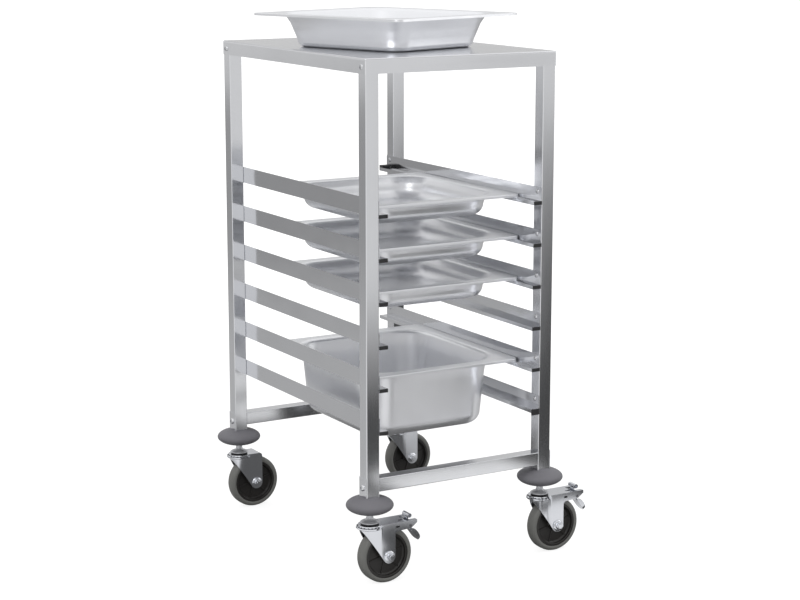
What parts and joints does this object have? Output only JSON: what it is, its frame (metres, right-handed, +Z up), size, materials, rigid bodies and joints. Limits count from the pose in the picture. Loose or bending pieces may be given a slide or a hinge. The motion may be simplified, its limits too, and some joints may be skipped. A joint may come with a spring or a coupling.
{
  "type": "gastronorm tray trolley",
  "caption": "Steel tray trolley with a flat table top, pairs of runners for gastronorm pans, bumpers, and swivel casters with pedal brakes in front.",
  "frame": {"origin": "on the floor under the middle of the outer box", "axes": "+X to the trolley's right, seen from the front, where the pans go in; +Y to the rear; +Z up"},
  "size_m": [0.4906, 0.606, 0.97],
  "materials": {
    "frame_steel": "polished",
    "pan_steel": "satin",
    "fastener_steel": "polished",
    "insert_steel": "dull",
    "caster_plate": "bright zinc plating",
    "bearing_dark": "matte",
    "bumper_rubber": "matte",
    "tyre_rubber": "matte",
    "hub_plastic": "satin",
    "black_plastic": "satin"
  },
  "bodies": {
    "frame": {"table_top": "frame_steel", "leg_front_left": "frame_steel", "leg_front_right": "frame_steel", "leg_rear_left": "frame_steel", "leg_rear_right": "frame_steel", "crossbar_front": "frame_steel", "crossbar_rear": "frame_steel", "runner_left_1": "frame_steel", "runner_left_2": "frame_steel", "runner_left_3": "frame_steel", "runner_left_4": "frame_steel", "runner_left_5": "frame_steel", "runner_left_6": "frame_steel", "runner_right_1": "frame_steel", "runner_right_2": "frame_steel", "runner_right_3": "frame_steel", "runner_right_4": "frame_steel", "runner_right_5": "frame_steel", "runner_right_6": "frame_steel", "runner_end_plugs": "black_plastic", "runner_rear_stops": "black_plastic", "runner_screws": "fastener_steel", "table_screws": "fastener_steel", "leg_inserts": "insert_steel", "leg_foot_plates": "fastener_steel", "leg_foot_bolts": "fastener_steel", "bumper_front_left": "bumper_rubber", "bumper_front_right": "bumper_rubber", "bumper_rear_left": "bumper_rubber", "bumper_rear_right": "bumper_rubber", "caster_stem_front_left": "caster_plate", "caster_stem_front_right": "caster_plate", "caster_stem_rear_left": "caster_plate", "caster_stem_rear_right": "caster_plate", "swivel_rings": "bearing_dark"},
    "caster_front_left": {"fork_front_left": "caster_plate", "axle_front_left": "caster_plate", "brake_pin_left": "bearing_dark"},
    "wheel_front_left": {"hub_front_left": "hub_plastic", "tyre_front_left": "tyre_rubber"},
    "brake_left": {"brake_pedal_left": "caster_plate"},
    "caster_front_right": {"fork_front_right": "caster_plate", "axle_front_right": "caster_plate", "brake_pin_right": "bearing_dark"},
    "wheel_front_right": {"hub_front_right": "hub_plastic", "tyre_front_right": "tyre_rubber"},
    "brake_right": {"brake_pedal_right": "caster_plate"},
    "caster_rear_left": {"fork_rear_left": "caster_plate", "axle_rear_left": "caster_plate"},
    "wheel_rear_left": {"hub_rear_left": "hub_plastic", "tyre_rear_left": "tyre_rubber"},
    "caster_rear_right": {"fork_rear_right": "caster_plate", "axle_rear_right": "caster_plate"},
    "wheel_rear_right": {"hub_rear_right": "hub_plastic", "tyre_rear_right": "tyre_rubber"},
    "pan_1": {"pan_level_1": "pan_steel"},
    "pan_2": {"pan_level_2": "pan_steel"},
    "pan_3": {"pan_level_3": "pan_steel"},
    "pan_5": {"pan_level_5": "pan_steel"},
    "table_pan": {"pan_on_table": "pan_steel"}
  },
  "joints": [
    {"name": "swivel_front_left", "type": "hinge", "parent": "frame", "child": "caster_front_left", "pos_m": [-0.20385, -0.2615, 0.11], "axis": [0, 0, 1], "continuous": true},
    {"name": "roll_front_left", "type": "hinge", "parent": "caster_front_left", "child": "wheel_front_left", "pos_m": [-0.17535, -0.2615, 0.05], "axis": [0, 1, 0], "continuous": true},
    {"name": "brake_left", "type": "hinge", "parent": "caster_front_left", "child": "brake_left", "pos_m": [-0.13335, -0.2615, 0.0995], "axis": [0, 1, 0], "range_deg": [0, 22]},
    {"name": "swivel_front_right", "type": "hinge", "parent": "frame", "child": "caster_front_right", "pos_m": [0.14915, -0.2615, 0.11], "axis": [0, 0, 1], "continuous": true},
    {"name": "roll_front_right", "type": "hinge", "parent": "caster_front_right", "child": "wheel_front_right", "pos_m": [0.17765, -0.2615, 0.05], "axis": [0, 1, 0], "continuous": true},
    {"name": "brake_right", "type": "hinge", "parent": "caster_front_right", "child": "brake_right", "pos_m": [0.21965, -0.2615, 0.0995], "axis": [0, 1, 0], "range_deg": [0, 22]},
    {"name": "swivel_rear_left", "type": "hinge", "parent": "frame", "child": "caster_rear_left", "pos_m": [-0.20385, 0.2615, 0.11], "axis": [0, 0, 1], "continuous": true},
    {"name": "roll_rear_left", "type": "hinge", "parent": "caster_rear_left", "child": "wheel_rear_left", "pos_m": [-0.17535, 0.2615, 0.05], "axis": [0, 1, 0], "continuous": true},
    {"name": "swivel_rear_right", "type": "hinge", "parent": "frame", "child": "caster_rear_right", "pos_m": [0.14915, 0.2615, 0.11], "axis": [0, 0, 1], "continuous": true},
    {"name": "roll_rear_right", "type": "hinge", "parent": "caster_rear_right", "child": "wheel_rear_right", "pos_m": [0.17765, 0.2615, 0.05], "axis": [0, 1, 0], "continuous": true},
    {"name": "slide_pan_1", "type": "slide", "parent": "frame", "child": "pan_1", "axis": [0, -1, 0], "range_m": [-0.1, 0.4]},
    {"name": "slide_pan_2", "type": "slide", "parent": "frame", "child": "pan_2", "axis": [0, -1, 0], "range_m": [-0.5, 0.4]},
    {"name": "slide_pan_3", "type": "slide", "parent": "frame", "child": "pan_3", "axis": [0, -1, 0], "range_m": [-0.5, 0.4]},
    {"name": "slide_pan_5", "type": "slide", "parent": "frame", "child": "pan_5", "axis": [0, -1, 0], "range_m": [-0.5, 0.4]},
    {"name": "lift_table_pan", "type": "slide", "parent": "frame", "child": "table_pan", "axis": [0, 0, 1], "range_m": [0, 0.25]}
  ]
}
